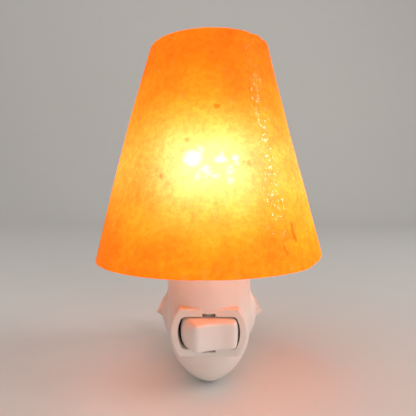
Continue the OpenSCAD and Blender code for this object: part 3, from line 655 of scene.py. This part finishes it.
def grains(spots, ragged, lumps):
    """A mask of single grains in the side, with edges broken up by noise."""
    soft = None
    for turn, high, half, tall, strength in spots:
        side = FOOT_R + (CROWN_R - FOOT_R) * (high * MM - FOOT_Z) / (CROWN_Z - FOOT_Z)
        a = math.radians(turn)
        off = shift(tree, "SUBTRACT", place, (side * math.sin(a), AXIS_Y - side * math.cos(a), high * MM))
        far = shift(tree, "LENGTH", shift(tree, "MULTIPLY", off, (1, 1, 1 / tall)))
        one = spread(tree, far, GRAIN_CORE * half * MM, GRAIN_EDGE * half * MM, strength, 0.0)
        soft = one if soft is None else calc(tree, "MAXIMUM", soft, one)
    broken = calc(tree, "MULTIPLY_ADD", grain(tree, place, lumps, 4.0, 0.65), ragged, soft)
    return spread(tree, broken, MASK_LOW + ragged / 2, MASK_HIGH + ragged / 2)


clear_patch = spread(tree, grain(tree, place, 240.0, 4.0, 0.6), 0.60, 0.68, 0.0, CLEAR_PATCH)
clear = calc(tree, "MAXIMUM", grains(CLEAR_GRAINS, CLEAR_RAGGED, 1100.0), clear_patch)
rust_patch = spread(tree, grain(tree, place, 260.0, 4.0, 0.62), 0.62, 0.74, 0.0, RUST_PATCH)
rust = calc(tree, "MAXIMUM", grains(RUST_GRAINS, RUST_RAGGED, 1200.0), rust_patch)
rust = calc(tree, "MULTIPLY", rust, RUST_SHARE)
cloudy = spread(tree, grain(tree, place, 95.0, 6.0, 0.6), 0.3, 0.7, 0.76, 1.22)
sparkle = spread(tree, grain(tree, place, 520.0, 5.0, 0.7), 0.3, 0.7, 0.84, 1.16)
# painted light: the glow and body colour are brighter to the right and dimmer to the left; the salt is rubbed
# smooth on the right, but not near the rims
to_side = calc(tree, "DIVIDE", salt_at["X"], FOOT_R)
painted_light_to_right = calc(tree, "MULTIPLY_ADD", calc(tree, "POWER", to_side, 3.0), 0.45, 1.02)
turn_right = calc(tree, "DIVIDE", to_side, spread(tree, up, 0.0, 1.0, 1.0, CROWN_R / FOOT_R))
rubbed = calc(tree, "MULTIPLY", spread(tree, turn_right, 0.36, 0.48), spread(tree, up, 0.10, 0.30))
rubbed = calc(tree, "MULTIPLY", rubbed, spread(tree, up, 0.50, 0.95, 1.0, 0.1))
level = calc(tree, "MULTIPLY", calc(tree, "MULTIPLY", cloudy, sparkle), painted_light_to_right)
lit = shift(tree, "MULTIPLY", ramp_of(GLOW), level)
off_axis = shift(tree, "MULTIPLY", shift(tree, "SUBTRACT", place, (0, AXIS_Y, 0)), (1, 1, 0))
near_axis = calc(tree, "LESS_THAN", shift(tree, "LENGTH", off_axis), NECK_BORE_R + BORE_MARGIN)
under_ceiling = calc(tree, "LESS_THAN", up, (CEILING_Z + SKIN_PAST_CEILING - FOOT_Z) / (CROWN_Z - FOOT_Z))
in_bore = calc(tree, "MULTIPLY", near_axis, under_ceiling)
inside = shift(tree, "MULTIPLY", ramp_of(INSIDE), (INSIDE_GAIN, INSIDE_GAIN, INSIDE_GAIN))
# painted glow: the skin's, dimmed at the rust grains, and the bore's, for the bulb's light through the salt
put(tree, shader["Emission Color"], shade_of(tree, in_bore, shade_of(tree, rust, lit, RUST), inside))
shader["Emission Strength"].default_value = SALT_GLOW
# the body colour, lighter around the bulb's height, carries painted light
body = shift(tree, "MULTIPLY", ramp_of(BODY_AND_PAINTED_LIGHT), calc(tree, "MULTIPLY", level, sparkle))
put(tree, shader["Base Color"], shade_of(tree, rust, shade_of(tree, clear, body, CLEAR_SALT), RUST))
shader["Transmission Weight"].default_value = SALT_CLEARNESS
shader["IOR"].default_value = SALT_IOR
shader["Specular IOR Level"].default_value = 0.1
put(tree, shader["Roughness"], spread(tree, clear, 0.0, 1.0, 0.90, 0.30))
tool_lines = grain(tree, shift(tree, "MULTIPLY", place, TOOL_LINES), 1.0, 3.0)
pits = grain(tree, place, 1300.0, 5.0, 0.65)
skin_height = calc(tree, "MULTIPLY_ADD", tool_lines, 0.5, pits)
bump = add(tree, "ShaderNodeBump", Height=skin_height, Strength=0.5, Distance=PIT_DEPTH)
put(tree, shader["Normal"], bump.outputs["Normal"])
# small crystal facets on the rubbed side, each tilted its own way, that catch the light
shine = add(tree, "ShaderNodeBump", Height=grain(tree, place, 650.0, 1.0), Strength=0.9, Distance=FACET_DEPTH)
put(tree, shader["Coat Normal"], shine.outputs["Normal"])
facets = spread(tree, grain(tree, place, 900.0, 2.0), 0.52, 0.62)
put(tree, shader["Coat Weight"], calc(tree, "MULTIPLY", facets, rubbed))
shader["Coat Roughness"].default_value = 0.1
salt_cone = grown(
    "salt_cone", turning, section_mesh, Around=SALT_AROUND, Along=SALT_ALONG, Foot_Z=FOOT_Z, Crown_Z=CROWN_Z,
    Foot_Radius=FOOT_R, Side_Slope=(FOOT_R - CROWN_R) / (CROWN_Z - FOOT_Z), Foot_Tilt=math.radians(FOOT_TILT),
    Crown_Tilt=math.radians(CROWN_TILT), Bore_Radius=NECK_BORE_R, Ceiling_Z=CEILING_Z, Left_Swell=LEFT_SWELL,
    Right_Hollow=RIGHT_HOLLOW, Ripple=RIPPLE, Nick=NICK, Chip_Height=CHIP_H, Chip_Reach=CHIP_REACH,
    Chip_Angle=math.radians(CHIP_ANGLE), Seed=SALT_SEED, Axis_Y=AXIS_Y, Salt=salt,
)
facing = bmesh.new()
facing.from_mesh(salt_cone.data)
bmesh.ops.recalc_face_normals(facing, faces=facing.faces)
facing.to_mesh(salt_cone.data)
facing.free()
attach(salt_cone, "shade")
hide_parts("salt_shade")

# Floor and backdrop: one pale sheet of matte paper that curves up behind the lamp.
# It only carries the shadow, and isn't part of the lamp.
FLOOR_Z = -21.3 * MM
FLOOR_FRONT_Y = -1.2
BEND_START_Y = 0.55
BEND_R = 0.25
BEND_STEPS = 16
BACKDROP_H = 1.6
SHEET_HALF = 1.6
PAPER = (0.79, 0.76, 0.72, 1)
PAPER_PALE = (0.81, 0.78, 0.74, 1)
sweep = [(FLOOR_FRONT_Y, FLOOR_Z)]
for i in range(BEND_STEPS + 1):
    a = math.radians(90 * i / BEND_STEPS)
    sweep.append((BEND_START_Y + BEND_R * math.sin(a), FLOOR_Z + BEND_R * (1 - math.cos(a))))
sweep += [(BEND_START_Y + BEND_R, FLOOR_Z + BACKDROP_H)]
sheet_mesh = bpy.data.meshes.new("floor")
points = [(x, y, z) for y, z in sweep for x in (-SHEET_HALF, SHEET_HALF)]
quads = [(2 * i, 2 * i + 1, 2 * i + 3, 2 * i + 2) for i in range(len(sweep) - 1)]
sheet_mesh.from_pydata(points, [], quads)
for face in sheet_mesh.polygons:
    face.use_smooth = True
floor = bpy.data.objects.new("floor", sheet_mesh)
bpy.context.scene.collection.objects.link(floor)
pale, shader, tree, place = new_material("pale paper")
fibres = grain(tree, place, 60.0, 4.0)
put(tree, shader["Base Color"], shade_of(tree, fibres, PAPER, PAPER_PALE))
shader["Roughness"].default_value = 0.9
sheet_mesh.materials.append(pale)

# Light: a soft room, a wide soft box high on the left, and one ahead on the right that shapes the base.
# A narrow one beside the lamp on the right draws a band of glints down the shade.
ROOM_LIGHT = 0.10
ROOM_SHOWN = 0.45
ROOM_COLOUR = (0.95, 0.93, 0.90, 1)
world = bpy.data.worlds.new("soft room")
bpy.context.scene.world = world
world.use_nodes = True
room = world.node_tree
rays = room.nodes.new("ShaderNodeLightPath").outputs
mirrored = calc(room, "MAXIMUM", rays["Is Glossy Ray"], rays["Is Transmission Ray"])
shown = calc(room, "MAXIMUM", rays["Is Camera Ray"], mirrored)
room.nodes["Background"].inputs["Color"].default_value = ROOM_COLOUR
put(room, room.nodes["Background"].inputs["Strength"], spread(room, shown, 0.0, 1.0, ROOM_LIGHT, ROOM_SHOWN))
for name, spot, target, roll, width, tall, power in (
    ("high soft box", (-0.42, -0.45, 1.0), (0, -0.05, 0.04), 0, 1.3, 1.3, 6.5),
    ("front soft box", (0.55, -0.92, 0.12), (0, -0.05, 0.01), 0, 0.3, 0.3, 1.9),
    ("side soft box", (0.81, -0.17, 0.44), (0, -0.06, 0.06), -18, 0.05, 0.7, 2.9),
):
    lamp = bpy.data.lights.new(name, "AREA")
    lamp.shape = "RECTANGLE"
    lamp.size = width
    lamp.size_y = tall
    lamp.energy = power
    stand = bpy.data.objects.new(name, lamp)
    stand.location = spot
    aim = mathutils.Vector(target) - mathutils.Vector(spot)
    turned = aim.to_track_quat("-Z", "Y") @ mathutils.Quaternion((0, 0, 1), math.radians(roll))
    stand.rotation_euler = turned.to_euler()
    bpy.context.scene.collection.objects.link(stand)

# Camera: close in front, a third of the way up the shade, and turned down by three degrees.
# The distance and the lens give the photographed proportions.
PHOTO_WIDTH = 416
FOCAL_PIXELS = 400
SENSOR_WIDTH = 36
CAMERA_X = 0.39 * MM
CAMERA_AHEAD = 145.04 * MM
CAMERA_Z = 50 * MM
CAMERA_DOWN = 3.016
CAMERA_TURN = 0.308
lens = bpy.data.cameras.new("camera")
lens.sensor_width = SENSOR_WIDTH
lens.lens = FOCAL_PIXELS / PHOTO_WIDTH * SENSOR_WIDTH
lens.clip_start = 0.01
camera = bpy.data.objects.new("camera", lens)
camera.location = (CAMERA_X, AXIS_Y - CAMERA_AHEAD, CAMERA_Z)
camera.rotation_euler = (math.radians(90 - CAMERA_DOWN), 0, math.radians(CAMERA_TURN))
bpy.context.scene.collection.objects.link(camera)
bpy.context.scene.camera = camera
bpy.context.scene.view_settings.view_transform = "Standard"
